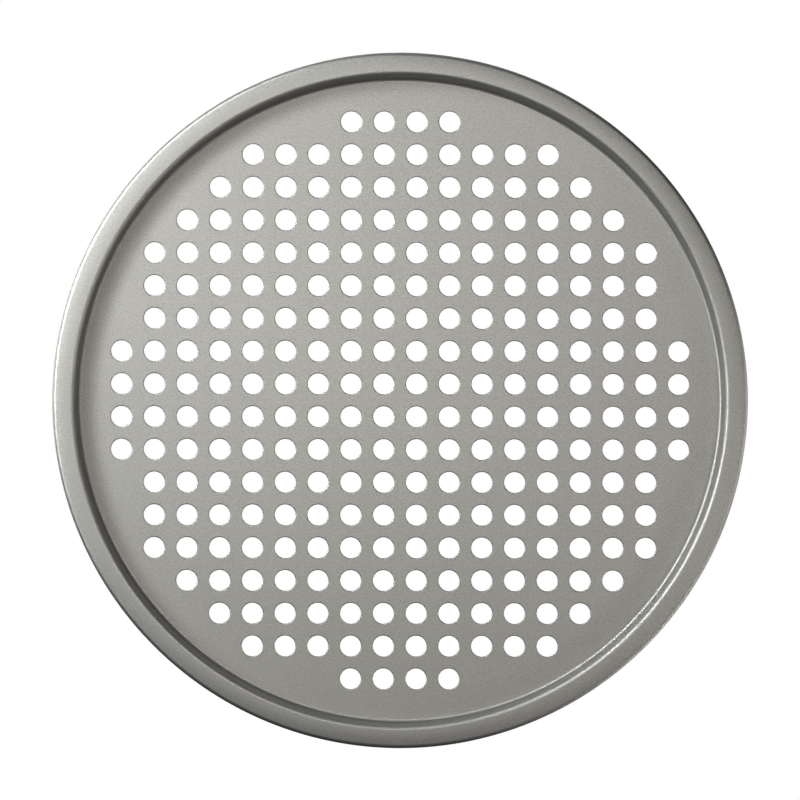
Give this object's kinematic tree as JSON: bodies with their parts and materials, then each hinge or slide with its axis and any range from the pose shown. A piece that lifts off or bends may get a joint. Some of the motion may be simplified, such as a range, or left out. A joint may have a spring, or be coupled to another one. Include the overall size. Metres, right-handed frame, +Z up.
{
  "type": "pizza pan",
  "caption": "Round shallow baking pan of coated steel with a square grid of vents in its floor, a low wall, and a wide flat rim rolled under round a wire.",
  "frame": {"origin": "centre of the floor's underside, the face that the pan rests on", "axes": "+Z up, out of the dish's open side; +X and +Y along the rows of vents, so the picture's right is +X and its top is +Y"},
  "size_m": [0.37, 0.37, 0.012],
  "materials": {
    "coated_steel": "satin warm-grey metallic non-stick coating",
    "bare_wire": "drawn steel wire, dull"
  },
  "bodies": {
    "root": {"pan_sheet": "coated_steel", "rim_wire": "bare_wire"}
  },
  "joints": []
}
